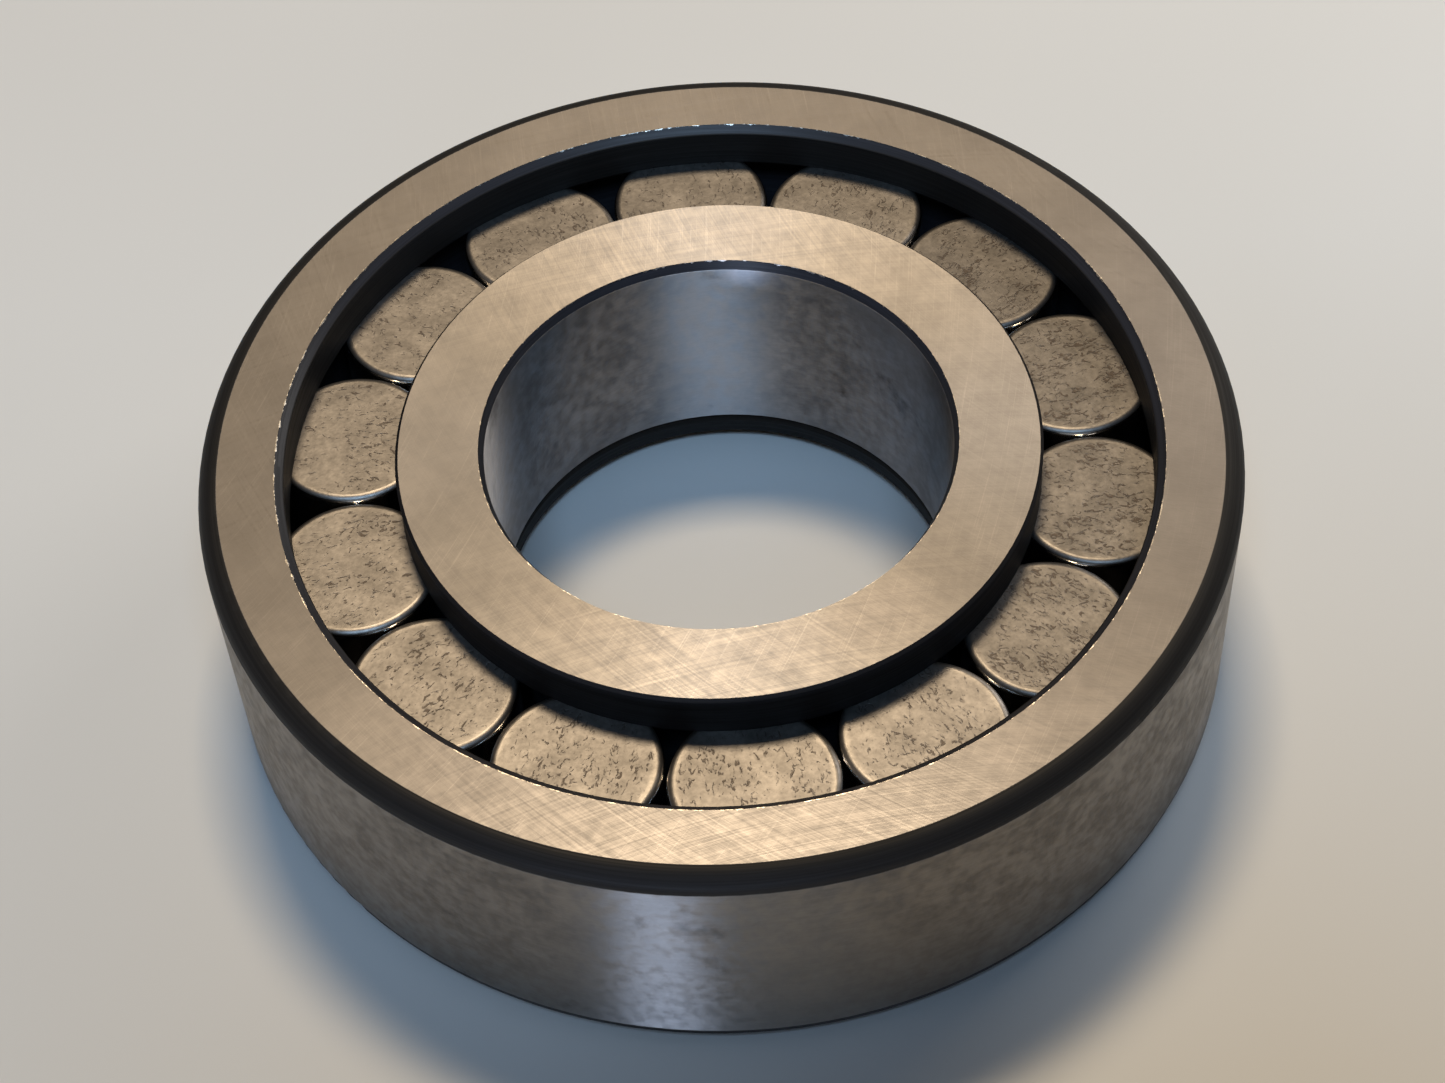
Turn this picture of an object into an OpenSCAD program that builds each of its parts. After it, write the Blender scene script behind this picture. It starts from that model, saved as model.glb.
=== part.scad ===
// Single-row, full-complement cylindrical roller bearing.
// The outer ring has two fixed ribs. The inner ring has one fixed rib at the top, and a
// loose flange ring below it is the second. The rollers fill the track, and there is no cage.
// +Z is the bearing's axis. The origin is the centre of the lower faces.

/* [Rings] */
// Outside diameter of the outer ring
outer_d = 100; // [94:0.5:110]
// Bore diameter of the inner ring
bore_d = 45; // [38:0.5:50]
// Width over the rings
width = 27.5; // [24:0.5:34]
// Width of the fixed ribs at the top, on both rings
upper_rib_w = 4.7; // [4.2:0.1:6]
// Width of the outer ring's lower rib
lower_rib_w = 4.2; // [4.1:0.1:6]
// Thickness of the loose flange ring
flange_w = 4; // [3.2:0.1:4.1]
// Height of the inner ring's rib above its raceway
inner_rib_h = 2.6; // [1.5:0.1:3.5]
// Height of the outer ring's ribs above its raceway
outer_rib_h = 2.75; // [1.5:0.05:3.5]
// How much wider than the inner ring's bore the flange ring's bore is
flange_bore_step = 0.5; // [0.1:0.1:2]

/* [Rollers] */
// Roller diameter
roller_d = 16; // [15:0.1:16.2]
// Gap between neighbouring rollers at rest
roller_gap = 0.2; // [0.1:0.05:0.3]
// Free play of a roller between the outer ring's ribs
end_play = 0.1; // [0.05:0.05:0.4]
// Radial clearance between a roller and each raceway
race_clearance = 0.03; // [0.01:0.01:0.1]
// Radius of a roller's rounded end corner
roller_corner_r = 0.75; // [0.3:0.05:1.5]
// Angle of the first roller from +X, in degrees
first_roller_angle = 14.8; // [0:0.1:25.7]

/* [Edges] */
// Radius of the outer ring's rounded outside corners
outer_corner_r = 2; // [1:0.1:3]
// Radial size of the inner ring's and the flange ring's upper bore chamfers
bore_chamfer_r = 0.5; // [0.3:0.1:1.5]
// Axial size of the same chamfers
bore_chamfer_z = 0.95; // [0.3:0.05:1.5]
// Size of the chamfer on the flange ring's lower bore edge, which clears the shaft's fillet
mount_chamfer = 1.5; // [0.5:0.1:2]
// Radial size of the chamfers on the outer ring's rib bores
rib_chamfer_r = 0.8; // [0.3:0.1:1.5]
// Axial size of the same chamfers
rib_chamfer_z = 0.7; // [0.3:0.1:1.5]
// Size of the small chamfers that break the other edges
edge_break = 0.3; // [0.1:0.05:0.5]
// Axial length of the lead-in on the open end of the inner raceway
lead_in_z = 0.8; // [0.3:0.1:1.5]
// Radius of the relief grooves in the corners of the roller tracks
relief_r = 0.4; // [0.2:0.05:0.6]

/* [Hidden] */
ROLLER_COUNT = 14;
ROLLERS = [for (i = [1:ROLLER_COUNT]) str("roller_", i < 10 ? "0" : "", i)];

// Overshoot of the cutting shapes, so that no cut ends flush with a face
over = 1;
roller_step = 360 / ROLLER_COUNT;
roller_r = roller_d / 2;
roller_l = width - upper_rib_w - lower_rib_w - end_play;
roller_z = lower_rib_w + end_play / 2;
pitch_r = (roller_r + roller_gap / 2) / sin(roller_step / 2);
outer_r = outer_d / 2;
outer_race_r = pitch_r + roller_r + race_clearance;
outer_rib_r = outer_race_r - outer_rib_h;
inner_race_r = pitch_r - roller_r - race_clearance;
inner_rib_r = inner_race_r + inner_rib_h;
bore_r = bore_d / 2;
flange_bore_r = bore_r + flange_bore_step / 2;

ring_steel = [0.62, 0.58, 0.53];
flange_steel = [0.45, 0.45, 0.47];
roller_steel = [0.56, 0.51, 0.46];

// Finer facets on the rings and rollers than on the small arcs of their outlines
$fn = 180;
outline_fn = 48;

// ---- Outline tools: radius runs along X and height along Y ----

// Mirrors an outline feature drawn for the top right corner so that it fits another corner.
// out is 1 for a corner away from the axis and -1 for one facing it; up is 1 or -1.
module at_corner(r, z, out, up) {
    translate([r, z])
        mirror([out < 0 ? 1 : 0, 0])
            mirror([0, up < 0 ? 1 : 0])
                children();
}

// Waste outside a rounded corner, for the corner at the origin
module round_waste(r) {
    translate([-r, -r])
        difference() {
            square(r + over);
            circle(r, $fn = outline_fn);
        }
}

// Waste outside a chamfered corner, for the corner at the origin
module chamfer_waste(dr, dz) {
    polygon([
        [-dr, 0],
        [-dr, over],
        [over, over],
        [over, -dz],
        [0, -dz]
    ]);
}

// Relief groove where a raceway meets a rib
module relief(r, z) {
    translate([r, z])
        circle(relief_r, $fn = outline_fn);
}

// ---- Rings ----

module outer_ring_outline() {
    difference() {
        translate([outer_rib_r, 0])
            square([outer_r - outer_rib_r, width]);
        // The roller track, open towards the axis
        translate([outer_rib_r - over, lower_rib_w])
            square([outer_rib_h + over, width - lower_rib_w - upper_rib_w]);
        relief(outer_race_r, lower_rib_w);
        relief(outer_race_r, width - upper_rib_w);
        at_corner(outer_r, width, 1, 1) round_waste(outer_corner_r);
        at_corner(outer_r, 0, 1, -1) round_waste(outer_corner_r);
        at_corner(outer_rib_r, width, -1, 1) chamfer_waste(rib_chamfer_r, rib_chamfer_z);
        at_corner(outer_rib_r, 0, -1, -1) chamfer_waste(rib_chamfer_r, rib_chamfer_z);
    }
}

module inner_ring_outline() {
    difference() {
        union() {
            translate([bore_r, flange_w])
                square([inner_race_r - bore_r, width - flange_w]);
            translate([bore_r, width - upper_rib_w])
                square([inner_rib_r - bore_r, upper_rib_w]);
        }
        relief(inner_race_r, width - upper_rib_w);
        at_corner(bore_r, width, -1, 1) chamfer_waste(bore_chamfer_r, bore_chamfer_z);
        at_corner(bore_r, flange_w, -1, -1) chamfer_waste(edge_break, edge_break);
        at_corner(inner_rib_r, width, 1, 1) chamfer_waste(edge_break, edge_break);
        // The lead-in lets the ring slide into the set of rollers
        at_corner(inner_race_r, flange_w, 1, -1) chamfer_waste(edge_break, lead_in_z);
    }
}

module flange_ring_outline() {
    difference() {
        translate([flange_bore_r, 0])
            square([inner_rib_r - flange_bore_r, flange_w]);
        at_corner(flange_bore_r, 0, -1, -1) chamfer_waste(mount_chamfer, mount_chamfer);
        at_corner(flange_bore_r, flange_w, -1, 1) chamfer_waste(bore_chamfer_r, bore_chamfer_z);
        at_corner(inner_rib_r, 0, 1, -1) chamfer_waste(edge_break, edge_break);
        at_corner(inner_rib_r, flange_w, 1, 1) chamfer_waste(edge_break, edge_break);
    }
}

module outer_ring() {
    color(ring_steel)
        rotate_extrude()
            outer_ring_outline();
}

module inner_ring() {
    color(ring_steel)
        rotate_extrude()
            inner_ring_outline();
}

module flange_ring() {
    color(flange_steel)
        rotate_extrude()
            flange_ring_outline();
}

// ---- Rollers ----

module roller_outline() {
    difference() {
        square([roller_r, roller_l]);
        at_corner(roller_r, roller_l, 1, 1) round_waste(roller_corner_r);
        at_corner(roller_r, 0, 1, -1) round_waste(roller_corner_r);
    }
}

// One roller, at its place in the ring of rollers
module roller(number) {
    angle = first_roller_angle + (number - 1) * roller_step;
    color(roller_steel)
        translate([pitch_r * cos(angle), pitch_r * sin(angle), roller_z])
            rotate_extrude()
                roller_outline();
}

outer_ring();
inner_ring();
flange_ring();
roller(1);  // roller_01
roller(2);  // roller_02
roller(3);  // roller_03
roller(4);  // roller_04
roller(5);  // roller_05
roller(6);  // roller_06
roller(7);  // roller_07
roller(8);  // roller_08
roller(9);  // roller_09
roller(10);  // roller_10
roller(11);  // roller_11
roller(12);  // roller_12
roller(13);  // roller_13
roller(14);  // roller_14
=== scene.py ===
"""Looks of a full-complement cylindrical roller bearing: its steels, the floor, the light and the camera.

Lengths are metres in the bearing's own frame: +Z is its axis, and the origin is the centre of its lower
faces. Azimuths are measured around Z from -Y, the camera's side, and are positive towards +X.
"""
import math

import bmesh
import bpy
from mathutils import Matrix, Vector


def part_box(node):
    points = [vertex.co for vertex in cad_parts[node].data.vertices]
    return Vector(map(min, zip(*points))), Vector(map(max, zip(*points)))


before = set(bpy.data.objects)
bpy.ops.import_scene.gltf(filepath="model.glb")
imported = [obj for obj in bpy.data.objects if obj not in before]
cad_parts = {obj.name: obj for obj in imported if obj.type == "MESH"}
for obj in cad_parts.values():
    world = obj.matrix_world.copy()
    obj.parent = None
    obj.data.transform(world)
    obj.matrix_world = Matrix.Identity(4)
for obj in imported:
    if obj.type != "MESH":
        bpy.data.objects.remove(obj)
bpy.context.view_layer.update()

MM = 0.001
scene = bpy.context.scene

# ---- Sizes, worked out from the frame ----


def middle(node):
    low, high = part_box(node)
    return (low + high) / 2


def smallest_radius(node):
    """Distance from the axis to the nearest vertex of a node, which is its bore's radius."""
    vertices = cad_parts[node].data.vertices
    return min(math.hypot(v.co.x, v.co.y) for v in vertices)


OUTER_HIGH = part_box("outer_ring")[1]
TOP = OUTER_HIGH.z
OUTER_R = OUTER_HIGH.x
OUTER_RIB_R = smallest_radius("outer_ring")
INNER_RIB_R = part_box("inner_ring")[1].x
BORE_R = smallest_radius("inner_ring")

ROLLERS = sorted(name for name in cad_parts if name.startswith("roller_"))
FIRST_ROLLER = middle(ROLLERS[0])
PITCH_R = math.hypot(FIRST_ROLLER.x, FIRST_ROLLER.y)
FIRST_ANGLE = math.atan2(FIRST_ROLLER.y, FIRST_ROLLER.x)
ROLLER_STEP = 2 * math.pi / len(ROLLERS)
ROLLER_LOW, ROLLER_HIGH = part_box(ROLLERS[0])
ROLLER_R = (ROLLER_HIGH.x - ROLLER_LOW.x) / 2

# Radial sizes of the rounded outside corner and of the bores' chamfers, the same as the CAD model's
OUTER_CORNER = 2.0 * MM
OUTER_RIB_CHAMFER = 0.8 * MM
BORE_CHAMFER = 0.5 * MM

# ---- Colours (linear) ----

OUTER_GROUND = (0.240, 0.223, 0.217)
INNER_GROUND = (0.44, 0.404, 0.378)
OUTER_WALL = (0.31, 0.29, 0.27)
BORE_WALL = (0.43, 0.42, 0.43)
BLACK = (0.012, 0.0105, 0.0098)
# Dark oxide of the chamfers, lighter and bluer than the other oxide: the blue tint and lift are a painted
# sheen of cool light
OXIDE_WITH_PAINTED_COOL_SHEEN = (0.026, 0.026, 0.031)
RIB_BLACK = (0.010, 0.009, 0.010)
BURR = (0.70, 0.64, 0.57)
END = (0.250, 0.229, 0.213)
END_MARK = (0.095, 0.074, 0.060)
END_RING = (0.275, 0.252, 0.234)
POLISH = (0.62, 0.60, 0.58)
FLOOR = (0.74, 0.735, 0.72)
CARD = (0.02, 0.02, 0.02)

# ---- Surfaces ----

OXIDE_ROUGHNESS = 0.60
CHAMFER_ROUGHNESS = 0.38
FLOOR_ROUGHNESS = 0.55

# How far the roughness of a wall or of oxide strays from its mean, up and down
ROUGHNESS_SPREAD = 0.06

# How much smoother than the valleys the tops of the grinding lines on a ground face are
LINE_SMOOTHING = 0.24

# Shine of the oxide skin; bare steel ignores it
OXIDE_SHINE = 0.25

# Part of a turn that brings the stretch of the reflections from along the grinding lines to across them
ACROSS_LINES = 0.25

# Noise cells per metre across the fine lines that run around the axis
LINE_DENSITY = 5000

# Slant given to stretched noise, so that the noise's own lattice doesn't show as stripes
SHEAR = 0.618

# Place between two planes of the lattice, for a direction in which a noise doesn't change
MID_CELL = 0.5

# A noise's values lie mostly between these two
NOISE_LOW = 0.3
NOISE_HIGH = 0.7

# Levelness is 1 on a face that looks straight up or down, and 0 on a wall around the axis.
# Each pair is where a mask of a kind of surface begins and where it is complete.
FACE_LEVELNESS = (0.93, 0.98)
WALL_LEVELNESS = (0.10, 0.03)
ROLLER_END_LEVELNESS = (0.50, 0.80)

# Step in the noise from one roller to the next, so that each has marks of its own
ROLLER_SEED_STEP = 5.3

# Values of a noise between which the marks on a roller's end go from sparse to crowded
CROWDING = (0.34, 0.62)

# The four rollers nearest to +X get more marks, and their ends are painted darker, as painted shade:
# those whose angle from +X has a cosine above this
MARKED_AND_SHADED_ABOVE = 0.6


class Finish:
    """What a surface looks like: colour, roughness, height, grain and metal, each a socket or a constant.

    Height is in metres. Grain is how strongly fine grinding lines around the axis stretch the
    reflections across them. Metal is 1 for bare steel and 0 where a dark oxide skin covers it.
    """

    def __init__(self, colour, roughness, height, grain=0.0, metal=1.0):
        self.colour = colour
        self.roughness = roughness
        self.height = height
        self.grain = grain
        self.metal = metal


class Graph:
    """Node tree of one material. Its methods take and give back output sockets or constants."""

    def __init__(self, name):
        self.material = bpy.data.materials.new(name)
        self.material.use_nodes = True
        self.nodes = self.material.node_tree.nodes
        self.links = self.material.node_tree.links
        self.shader = self.nodes["Principled BSDF"]
        coordinates = self.nodes.new("ShaderNodeTexCoord")
        self.point = coordinates.outputs["Object"]
        self.x, self.y, self.z = self.split(self.point)
        self.radius = self.length(self.x, self.y)
        self.angle = self.math("ARCTAN2", self.y, self.x)
        self.levelness = self.math("ABSOLUTE", self.split(coordinates.outputs["Normal"])[2])

    def feed(self, socket, value):
        """Links a socket to another one, or sets it to a constant."""
        if isinstance(value, bpy.types.NodeSocket):
            self.links.new(value, socket)
        elif isinstance(value, tuple) and len(value) == 3 and socket.type == "RGBA":
            socket.default_value = (*value, 1.0)
        else:
            socket.default_value = value

    def math(self, operation, first, second=0.0):
        node = self.nodes.new("ShaderNodeMath")
        node.operation = operation
        self.feed(node.inputs[0], first)
        self.feed(node.inputs[1], second)
        return node.outputs[0]

    def add(self, first, second):
        return self.math("ADD", first, second)

    def subtract(self, first, second):
        return self.math("SUBTRACT", first, second)

    def times(self, first, *others):
        for other in others:
            first = self.math("MULTIPLY", first, other)
        return first

    def length(self, first, second):
        squares = self.add(self.times(first, first), self.times(second, second))
        return self.math("SQRT", squares)

    def split(self, vector):
        node = self.nodes.new("ShaderNodeSeparateXYZ")
        self.feed(node.inputs[0], vector)
        return node.outputs[0], node.outputs[1], node.outputs[2]

    def join(self, x, y, z):
        node = self.nodes.new("ShaderNodeCombineXYZ")
        for socket, value in zip(node.inputs, (x, y, z)):
            self.feed(socket, value)
        return node.outputs[0]

    def ramp(self, value, low, high, start=0.0, end=1.0):
        """Smooth step from start to end as value goes from low to high."""
        node = self.nodes.new("ShaderNodeMapRange")
        node.interpolation_type = "SMOOTHSTEP"
        for socket, setting in zip(node.inputs, (value, low, high, start, end)):
            self.feed(socket, setting)
        return node.outputs[0]

    def noise(self, vector, scale, detail=2.0, roughness=0.5, distortion=0.0):
        node = self.nodes.new("ShaderNodeTexNoise")
        self.feed(node.inputs["Vector"], vector)
        node.inputs["Scale"].default_value = scale
        node.inputs["Detail"].default_value = detail
        node.inputs["Roughness"].default_value = roughness
        node.inputs["Distortion"].default_value = distortion
        return node.outputs["Fac"]

    def tone(self, noise, start, end):
        """A noise as a number that goes from start to end."""
        return self.ramp(noise, NOISE_LOW, NOISE_HIGH, start, end)

    def mix(self, mask, first, second):
        """Blend of two colours: the second where mask is 1."""
        node = self.nodes.new("ShaderNodeMix")
        node.data_type = "RGBA"
        self.feed(node.inputs[0], mask)
        self.feed(node.inputs[6], first)
        self.feed(node.inputs[7], second)
        return node.outputs[2]

    def blend(self, mask, first, second):
        """Blend of two numbers: the second where mask is 1. Equal constants stay a constant."""
        if isinstance(first, float) and first == second:
            return first
        node = self.nodes.new("ShaderNodeMix")
        node.data_type = "FLOAT"
        self.feed(node.inputs[0], mask)
        self.feed(node.inputs[2], first)
        self.feed(node.inputs[3], second)
        return node.outputs[0]

    def shade(self, colour, level):
        """A colour made lighter or darker by a number."""
        node = self.nodes.new("ShaderNodeVectorMath")
        node.operation = "SCALE"
        self.feed(node.inputs[0], colour)
        self.feed(node.inputs["Scale"], level)
        return node.outputs[0]

    def layer(self, mask, under, over):
        """One finish laid over another where mask is 1."""
        return Finish(
            self.mix(mask, under.colour, over.colour),
            self.blend(mask, under.roughness, over.roughness),
            self.blend(mask, under.height, over.height),
            self.blend(mask, under.grain, over.grain),
            self.blend(mask, under.metal, over.metal),
        )

    def apply(self, finish):
        """Connects a finish to the shader, and gives the material."""
        self.feed(self.shader.inputs["Base Color"], finish.colour)
        self.feed(self.shader.inputs["Roughness"], finish.roughness)
        self.feed(self.shader.inputs["Metallic"], finish.metal)
        self.feed(self.shader.inputs["Anisotropic"], finish.grain)
        self.shader.inputs["Specular IOR Level"].default_value = OXIDE_SHINE
        self.shader.inputs["Anisotropic Rotation"].default_value = ACROSS_LINES
        tangent = self.nodes.new("ShaderNodeTangent")
        tangent.direction_type = "RADIAL"
        tangent.axis = "Z"
        self.links.new(tangent.outputs[0], self.shader.inputs["Tangent"])
        bump = self.nodes.new("ShaderNodeBump")
        bump.inputs["Strength"].default_value = 1.0
        bump.inputs["Distance"].default_value = 1.0
        self.feed(bump.inputs["Height"], finish.height)
        self.links.new(bump.outputs[0], self.shader.inputs["Normal"])
        return self.material


# ---- Finishes ----


def arc_scratches(graph, centre, width, length):
    """Grinding lines on a flat face: arcs about a centre that lies outside the ring."""
    dx = graph.subtract(graph.x, centre[0])
    dy = graph.subtract(graph.y, centre[1])
    reach = math.hypot(*centre)
    across = graph.times(graph.length(dx, dy), 1 / width)
    along = graph.times(graph.math("ARCTAN2", dy, dx), reach / length)
    sheared = graph.add(along, graph.times(across, SHEAR))
    return graph.noise(graph.join(across, sheared, MID_CELL), 1.0, detail=3.0, roughness=0.6)


def ground_face(graph, colour, roughness, smooth_share, grain):
    """Flat side face of a ring: crossing arcs of a face grinder and cloudy patches.

    The tops of the grinding lines are smoother than the valleys; smooth_share is the share they take.
    """
    first = arc_scratches(graph, (0.085, 0.060), width=0.09 * MM, length=11 * MM)
    light = arc_scratches(graph, (-0.110, 0.035), width=0.10 * MM, length=8 * MM)
    third = arc_scratches(graph, (0.020, -0.140), width=0.13 * MM, length=14 * MM)
    lines = graph.add(graph.times(first, 0.55), graph.times(third, 0.45))
    cloud = graph.noise(graph.point, 140, detail=3.0, roughness=0.6)
    mottle = graph.noise(graph.point, 650, detail=4.0, roughness=0.65)
    level = graph.times(
        graph.tone(lines, 0.95, 1.04),
        graph.tone(cloud, 0.93, 1.06),
        graph.tone(mottle, 0.95, 1.04),
        graph.ramp(light, 0.57, 0.71, 1.0, 1.20),
    )
    worn = graph.add(graph.times(lines, 0.8), graph.times(mottle, 0.2))
    half_smooth = 0.58 - 0.16 * smooth_share
    transition = 0.28
    smooth = graph.ramp(worn, half_smooth - transition, half_smooth + transition)
    return Finish(
        graph.shade(colour, level),
        graph.blend(smooth, roughness, roughness - LINE_SMOOTHING),
        graph.times(lines, 0.9e-6),
        grain,
    )


def inner_face(graph):
    """Side face of the inner ring and of the flange ring."""
    return ground_face(graph, INNER_GROUND, roughness=0.62, smooth_share=0.2, grain=0.7)


def ground_wall(graph, colour, roughness):
    """Cylindrical ground surface: hair-fine lines around the axis, patches of wear and dark smudges."""
    down = graph.times(graph.z, LINE_DENSITY)
    around = graph.add(graph.times(graph.angle, 30), graph.times(down, SHEAR))
    lines = graph.noise(graph.join(around, MID_CELL, down), 1.0, detail=3.0, roughness=0.6)
    cloud = graph.noise(graph.point, 200, detail=4.0, roughness=0.6)
    blotch = graph.noise(graph.point, 900)
    smudge = graph.noise(graph.point, 110, detail=5.0, roughness=0.62)
    level = graph.times(
        graph.tone(lines, 0.95, 1.04),
        graph.tone(cloud, 0.90, 1.08),
        graph.ramp(smudge, 0.27, 0.38, 0.62, 1.0),
        graph.tone(blotch, 0.94, 1.04),
    )
    worn = graph.add(graph.times(blotch, 0.65), graph.times(cloud, 0.35))
    return Finish(
        graph.shade(colour, level),
        graph.ramp(worn, 0.34, 0.66, roughness + ROUGHNESS_SPREAD, roughness - ROUGHNESS_SPREAD),
        height=0.0,
        grain=1.0,
    )


def black_oxide(graph, colour, roughness):
    """Surface that was never ground: dark from heat treatment, with turning rings."""
    around = graph.times(graph.angle, 2.0)
    outwards = graph.times(graph.radius, LINE_DENSITY)
    down = graph.times(graph.z, LINE_DENSITY)
    lines = graph.noise(graph.join(around, outwards, down), 1.0, detail=3.0, roughness=0.65)
    return Finish(
        graph.shade(colour, graph.tone(lines, 0.75, 1.35)),
        graph.tone(lines, roughness + ROUGHNESS_SPREAD, roughness - ROUGHNESS_SPREAD),
        graph.times(lines, 4e-6),
        metal=0.0,
    )


def burr(graph):
    """Bright, torn edge where a ground face meets a chamfer."""
    grain = graph.noise(graph.point, 2600)
    colour = graph.shade(BURR, graph.tone(grain, 0.6, 1.1))
    return Finish(colour, 0.36, graph.times(grain, 3e-5))


def edge_line(graph, edge, width, amount=0.55):
    """Mask of a narrow, broken line along a circular edge; a larger amount leaves fewer gaps."""
    ragged = graph.noise(graph.point, 900, detail=3.0, roughness=0.7)
    gap_end = 1 - amount
    reach = graph.ramp(ragged, gap_end, gap_end + 0.25, 0.0, width)
    away = graph.math("ABSOLUTE", graph.subtract(graph.radius, edge))
    return graph.math("LESS_THAN", away, reach)


# ---- Materials ----


def outer_ring_material():
    graph = Graph("outer_ring_steel")
    face_end = OUTER_R - OUTER_CORNER
    bare = graph.ramp(graph.radius, face_end - 0.02 * MM, face_end + 0.06 * MM, 1.0, 0.0)
    face = graph.times(graph.ramp(graph.levelness, *FACE_LEVELNESS), bare)
    outside = graph.ramp(graph.radius, OUTER_R - 1.0 * MM, OUTER_R - 0.2 * MM)
    wall = graph.times(graph.ramp(graph.levelness, *WALL_LEVELNESS), outside)
    chamfer = graph.times(
        graph.ramp(graph.radius, OUTER_RIB_R + 0.05 * MM, OUTER_RIB_R + 0.10 * MM),
        graph.ramp(graph.radius, face_end - 1.0 * MM, face_end, 1.0, 0.0),
    )
    line = edge_line(graph, OUTER_RIB_R + OUTER_RIB_CHAMFER, width=0.13 * MM)
    surface = black_oxide(graph, BLACK, OXIDE_ROUGHNESS)
    # The rib chamfer gets oxide with a painted bluish sheen of cool light
    surface = graph.layer(chamfer, surface, black_oxide(graph, OXIDE_WITH_PAINTED_COOL_SHEEN, CHAMFER_ROUGHNESS))
    surface = graph.layer(wall, surface, ground_wall(graph, OUTER_WALL, roughness=0.35))
    ground = ground_face(graph, OUTER_GROUND, roughness=0.56, smooth_share=0.65, grain=0.4)
    surface = graph.layer(face, surface, ground)
    surface = graph.layer(line, surface, burr(graph))
    return graph.apply(surface)


def inner_ring_material():
    graph = Graph("inner_ring_steel")
    face = graph.ramp(graph.levelness, *FACE_LEVELNESS)
    bore = graph.ramp(graph.radius, BORE_R + 0.01 * MM, BORE_R + 0.04 * MM, 1.0, 0.0)
    rib = graph.ramp(graph.radius, INNER_RIB_R - 1.0 * MM, INNER_RIB_R - 0.5 * MM)
    line = edge_line(graph, BORE_R + BORE_CHAMFER, width=0.10 * MM)
    # The chamfers get oxide with a painted bluish sheen of cool light
    surface = black_oxide(graph, OXIDE_WITH_PAINTED_COOL_SHEEN, CHAMFER_ROUGHNESS)
    surface = graph.layer(rib, surface, black_oxide(graph, RIB_BLACK, OXIDE_ROUGHNESS))
    surface = graph.layer(bore, surface, ground_wall(graph, BORE_WALL, roughness=0.43))
    surface = graph.layer(face, surface, inner_face(graph))
    surface = graph.layer(line, surface, burr(graph))
    return graph.apply(surface)


def flange_ring_material():
    graph = Graph("flange_ring_steel")
    face = graph.ramp(graph.levelness, *FACE_LEVELNESS)
    surface = graph.layer(face, black_oxide(graph, BLACK, OXIDE_ROUGHNESS), inner_face(graph))
    return graph.apply(surface)


def roller_plane(graph):
    """Place on the end of a roller, from the roller's own centre, and the roller's number.

    The plane is folded at every roller, so that one material serves them all.
    """
    turned = graph.subtract(graph.angle, FIRST_ANGLE - ROLLER_STEP / 2 - 2 * math.pi)
    folded = graph.subtract(graph.math("MODULO", turned, ROLLER_STEP), ROLLER_STEP / 2)
    x = graph.subtract(graph.times(graph.radius, graph.math("COSINE", folded)), PITCH_R)
    y = graph.times(graph.radius, graph.math("SINE", folded))
    number = graph.math("FLOOR", graph.times(turned, 1 / ROLLER_STEP))
    return x, y, number


def roller_noise(graph, plane, radial, tangential, **settings):
    """Noise on a roller's end, its own on each roller, with this many cells a metre each way."""
    x, y, number = plane
    seed = graph.times(number, ROLLER_SEED_STEP)
    spread = graph.join(graph.times(x, radial), graph.times(y, tangential), seed)
    return graph.noise(spread, 1.0, **settings)


def roller_marks(graph, plane, crowd, worn):
    """Mask of the dark marks and pits on a roller's end, thicker where crowd is high or on a worn one."""
    marks = roller_noise(graph, plane, 1250, 2100, detail=3.0, roughness=0.6, distortion=1.0)
    pits = roller_noise(graph, plane, 900, 1500)
    limit = graph.add(graph.ramp(crowd, *CROWDING, 0.39, 0.465), graph.times(worn, 0.04))
    marked = graph.ramp(graph.subtract(limit, marks), 0.0, 0.13, 0.0, 0.75)
    pitted = graph.ramp(pits, 0.20, 0.27, 0.9, 0.0)
    return graph.math("MAXIMUM", marked, pitted)


def roller_material():
    """Polished side, and an end with a smoother ring inside its edge and dark marks within that."""
    graph = Graph("roller_steel")
    plane = roller_plane(graph)
    x, y, number = plane
    angle = graph.add(graph.times(number, ROLLER_STEP), FIRST_ANGLE)
    # Mask of the four rollers nearest to +X: more marks, and painted shade on their ends
    worn = graph.math("GREATER_THAN", graph.math("COSINE", angle), MARKED_AND_SHADED_ABOVE)
    ring = graph.ramp(graph.length(x, y), ROLLER_R - 1.3 * MM, ROLLER_R - 0.8 * MM)
    grain = graph.noise(graph.point, 1500, detail=4.0, roughness=0.65)
    cloud = graph.noise(graph.point, 260, detail=3.0, roughness=0.6)
    crowd = roller_noise(graph, plane, 230, 330)
    level = graph.times(
        graph.tone(grain, 0.84, 1.12),
        graph.tone(cloud, 0.84, 1.10),
        graph.ramp(crowd, *CROWDING, 1.05, 0.90),
        # Painted shade: ends of the four rollers nearest to +X darker, and painted light on the others
        graph.blend(worn, 1.10, 0.78),
    )
    colour = graph.shade(graph.mix(ring, END, END_RING), level)
    end = Finish(colour, graph.blend(ring, 0.48, 0.42), graph.times(grain, 1.6e-5))
    mark = Finish(END_MARK, 0.6, -1.2e-5)
    marked = graph.times(roller_marks(graph, plane, crowd, worn), graph.ramp(ring, 0.0, 1.0, 1.0, 0.12))
    end = graph.layer(marked, end, mark)
    side = Finish(POLISH, 0.13, 0.0)
    on_end = graph.ramp(graph.levelness, *ROLLER_END_LEVELNESS)
    return graph.apply(graph.layer(on_end, side, end))


def set_material(node, material):
    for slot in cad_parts[node].material_slots:
        slot.material = material


set_material("outer_ring", outer_ring_material())
set_material("inner_ring", inner_ring_material())
set_material("flange_ring", flange_ring_material())
roller_steel = roller_material()
for name in ROLLERS:
    set_material(name, roller_steel)

# ---- Floor ----

# Corners of a square, in units of half its side
SQUARE = ((-1, -1), (1, -1), (1, 1), (-1, 1))


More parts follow.
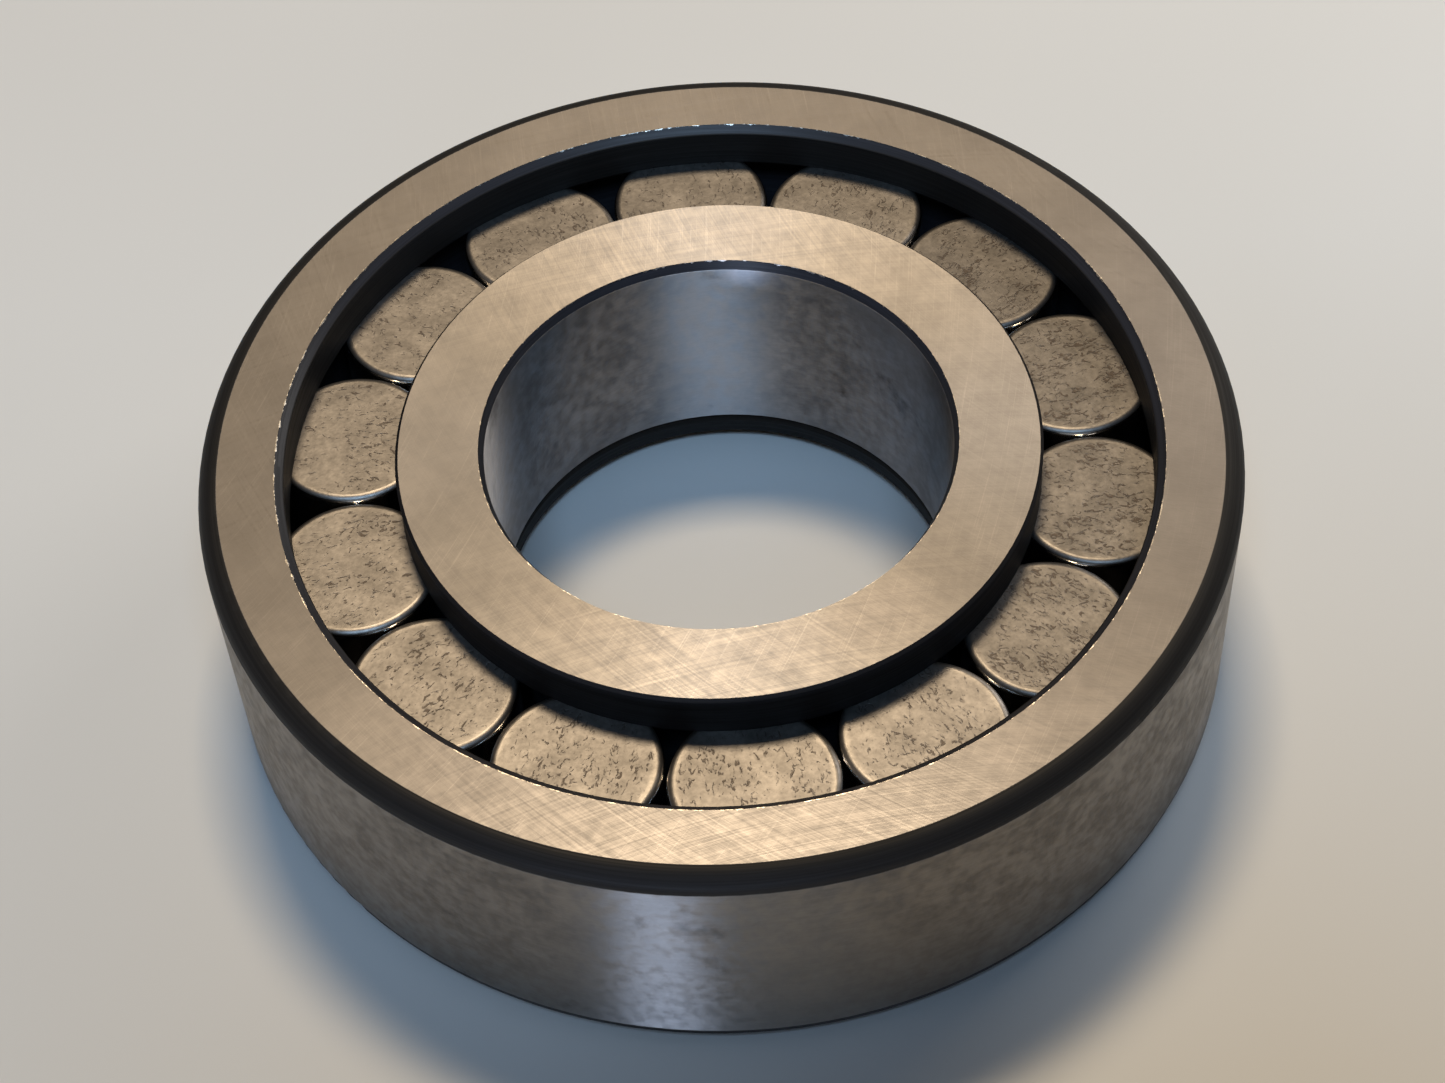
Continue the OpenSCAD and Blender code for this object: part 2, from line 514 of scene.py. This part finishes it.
def flat_object(name, corners, material):
    """Object with one flat face."""
    shape = bmesh.new()
    shape.faces.new([shape.verts.new(corner) for corner in corners])
    mesh = bpy.data.meshes.new(name)
    shape.to_mesh(mesh)
    shape.free()
    mesh.materials.append(material)
    flat = bpy.data.objects.new(name, mesh)
    scene.collection.objects.link(flat)
    return flat


def floor_material():
    graph = Graph("pale_floor")
    cloud = graph.noise(graph.point, 6, detail=3.0)
    graph.feed(graph.shader.inputs["Base Color"], graph.shade(FLOOR, graph.tone(cloud, 0.98, 1.02)))
    graph.shader.inputs["Roughness"].default_value = FLOOR_ROUGHNESS
    return graph.material


def make_floor(half_side):
    corners = [(x * half_side, y * half_side, 0.0) for x, y in SQUARE]
    floor = flat_object("floor", corners, floor_material())


make_floor(half_side=3.0)

# ---- Light ----

# The lights and the card are placed around the middle of the bearing's upper side
TARGET = Vector((0.0, 0.0, TOP))


def direction(azimuth, elevation):
    """Unit vector towards an azimuth and elevation in degrees."""
    a = math.radians(azimuth)
    e = math.radians(elevation)
    return Vector((math.sin(a) * math.cos(e), -math.cos(a) * math.cos(e), math.sin(e)))


def softbox(name, azimuth, elevation, distance, width, height, power, colour):
    """Rectangular area light that faces the bearing."""
    light = bpy.data.lights.new(name, "AREA")
    light.shape = "RECTANGLE"
    light.size = width
    light.size_y = height
    light.energy = power
    light.color = colour
    lamp = bpy.data.objects.new(name, light)
    towards = direction(azimuth, elevation)
    lamp.location = TARGET + towards * distance
    lamp.rotation_euler = towards.to_track_quat("Z", "Y").to_euler()
    scene.collection.objects.link(lamp)


def make_world(colour, strength):
    world = bpy.data.worlds.new("studio")
    world.use_nodes = True
    background = world.node_tree.nodes["Background"]
    background.inputs["Color"].default_value = (*colour, 1.0)
    background.inputs["Strength"].default_value = strength
    scene.world = world


def black_card(name, elevation, distance, width, height, offset):
    """Dark card on the camera's side, offset towards +X, that keeps light off part of the scene.

    The camera doesn't see it.
    """
    towards = direction(0, elevation)
    right = Vector((1.0, 0.0, 0.0))
    up = towards.cross(right)
    centre = TARGET + towards * distance + right * offset
    corners = [centre + right * (x * width / 2) + up * (y * height / 2) for x, y in SQUARE]
    graph = Graph(name)
    graph.feed(graph.shader.inputs["Base Color"], CARD)
    card = flat_object(name, corners, graph.material)
    card.visible_camera = False


softbox("key_behind", azimuth=182, elevation=68.7, distance=0.9,
        width=0.24, height=0.15, power=4.4, colour=(1.0, 0.80, 0.54))
softbox("warm_right", azimuth=135, elevation=27, distance=0.4,
        width=0.2, height=0.2, power=0.38, colour=(1.0, 0.95, 0.88))
softbox("warm_left", azimuth=270, elevation=30, distance=0.6,
        width=0.4, height=0.4, power=0.14, colour=(1.0, 0.88, 0.78))
softbox("cool_front", azimuth=0, elevation=62, distance=1.4,
        width=0.60, height=0.36, power=8.6, colour=(0.44, 0.69, 1.0))
softbox("cool_low", azimuth=-15.5, elevation=2.5, distance=0.9,
        width=0.18, height=0.06, power=2.1, colour=(0.56, 0.70, 1.0))
softbox("fill_front", azimuth=0, elevation=22, distance=1.3,
        width=0.9, height=0.3, power=0.35, colour=(0.95, 0.97, 1.0))
make_world(colour=(0.85, 0.93, 1.0), strength=0.02)
black_card("flag", elevation=48.5, distance=0.29, width=0.145, height=0.098, offset=0.0275)

scene.view_settings.view_transform = "Standard"
scene.view_settings.look = "None"
scene.view_settings.exposure = 0.0

# ---- Camera ----

# The sensor and the lens are in millimetres, and the rest in metres
CAMERA_ELEVATION = math.radians(51.78)
CAMERA_ROLL = math.radians(-3.78)
CAMERA_DISTANCE = 0.2762
CAMERA_SENSOR = 36.0
CAMERA_LENS = 74.14
CAMERA_NEAR = 0.01
AIM = Vector((-0.24 * MM, -12.9 * MM, TOP))


def make_camera():
    """Camera that looks at AIM from the -Y side, rolled a little about its own axis."""
    forward = Vector((0.0, math.cos(CAMERA_ELEVATION), -math.sin(CAMERA_ELEVATION)))
    level_right = Vector((1.0, 0.0, 0.0))
    level_up = level_right.cross(forward)
    right = level_right * math.cos(CAMERA_ROLL) + level_up * math.sin(CAMERA_ROLL)
    up = level_up * math.cos(CAMERA_ROLL) - level_right * math.sin(CAMERA_ROLL)
    data = bpy.data.cameras.new("camera")
    data.sensor_width = CAMERA_SENSOR
    data.lens = CAMERA_LENS
    data.clip_start = CAMERA_NEAR
    camera = bpy.data.objects.new("camera", data)
    turn = Matrix((right, up, -forward)).transposed().to_4x4()
    camera.matrix_world = Matrix.Translation(AIM - forward * CAMERA_DISTANCE) @ turn
    scene.collection.objects.link(camera)
    bpy.context.scene.camera = camera


make_camera()
